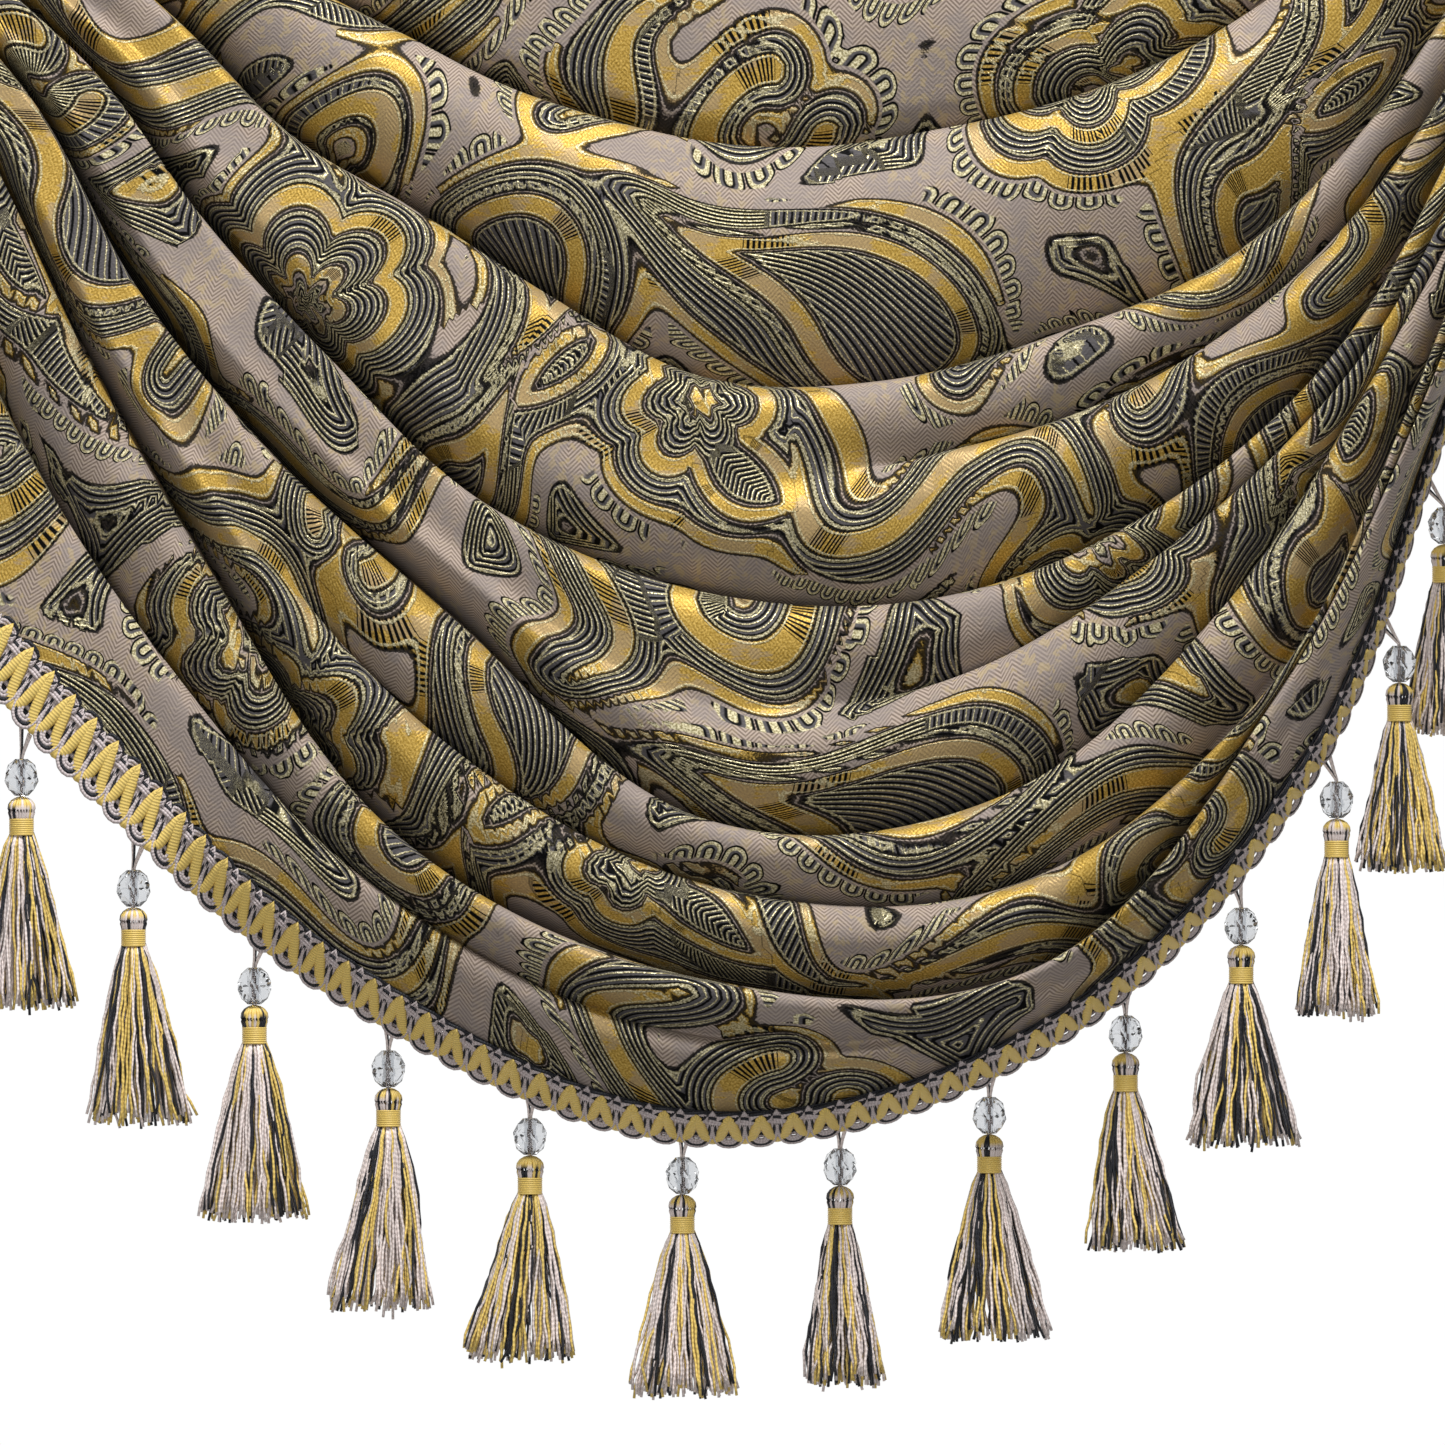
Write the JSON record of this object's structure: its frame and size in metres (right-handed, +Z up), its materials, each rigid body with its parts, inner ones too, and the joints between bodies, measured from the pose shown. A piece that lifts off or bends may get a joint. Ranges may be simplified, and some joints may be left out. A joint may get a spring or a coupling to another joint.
{
  "type": "swag drape with tassel fringe",
  "caption": "Jacquard swag drape in shoulder-to-shoulder folds, its curved hem trimmed with gimp braid and beaded tassels, hung from its top edge.",
  "frame": {"origin": "middle of the top edge, on the sheet's back face", "axes": "+X to the right along the top edge as seen from the room, +Z up, -Y towards the room"},
  "size_m": [0.5748, 0.1186, 0.4981],
  "materials": {
    "cloth": "jacquard weave with gold and slate figures on taupe",
    "gimp": "gold and grey-lilac braid",
    "yarn": "lilac, gold and black rayon yarn",
    "bead": "clear faceted bead"
  },
  "bodies": {
    "root": {"drape_cloth": "cloth", "gimp_braid": "gimp", "tassel_01": "yarn", "tassel_02": "yarn", "tassel_03": "yarn", "tassel_04": "yarn", "tassel_05": "yarn", "tassel_06": "yarn", "tassel_07": "yarn", "tassel_08": "yarn", "tassel_09": "yarn", "tassel_10": "yarn", "tassel_11": "yarn", "tassel_12": "yarn", "tassel_13": "yarn", "tassel_14": "yarn", "tassel_15": "yarn", "tassel_16": "yarn", "tassel_17": "yarn", "bead_01": "bead", "bead_02": "bead", "bead_03": "bead", "bead_04": "bead", "bead_05": "bead", "bead_06": "bead", "bead_07": "bead", "bead_08": "bead", "bead_09": "bead", "bead_10": "bead", "bead_11": "bead", "bead_12": "bead", "bead_13": "bead", "bead_14": "bead", "bead_15": "bead", "bead_16": "bead", "bead_17": "bead"}
  },
  "joints": []
}
